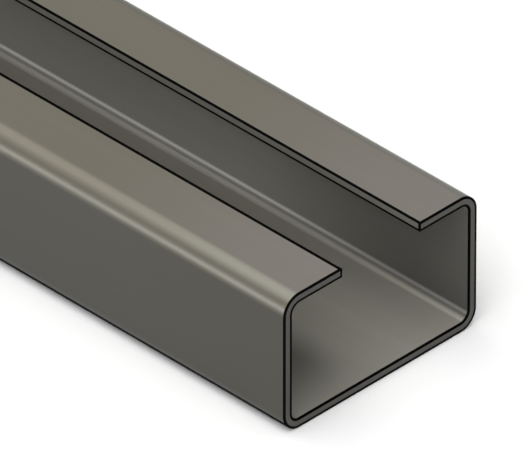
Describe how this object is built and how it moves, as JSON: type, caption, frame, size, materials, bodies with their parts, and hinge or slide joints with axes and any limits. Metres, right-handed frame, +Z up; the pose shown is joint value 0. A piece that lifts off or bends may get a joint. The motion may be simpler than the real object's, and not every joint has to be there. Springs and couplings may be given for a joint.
{
  "type": "lipped metal channel section",
  "caption": "Straight cold-formed steel channel: a flat web, two upright flanges and two inward lips that leave an open slot along its length.",
  "frame": {"origin": "underside of the web, at the middle of its width and of its length", "axes": "+X across the web, +Y along the length, +Z up from the web to the open slot between the lips"},
  "size_m": [0.05, 1, 0.03],
  "materials": {
    "satin_steel": "dark satin mill finish, with fine rolling lines along the length"
  },
  "bodies": {
    "root": {"c_channel": "satin_steel"}
  },
  "joints": []
}
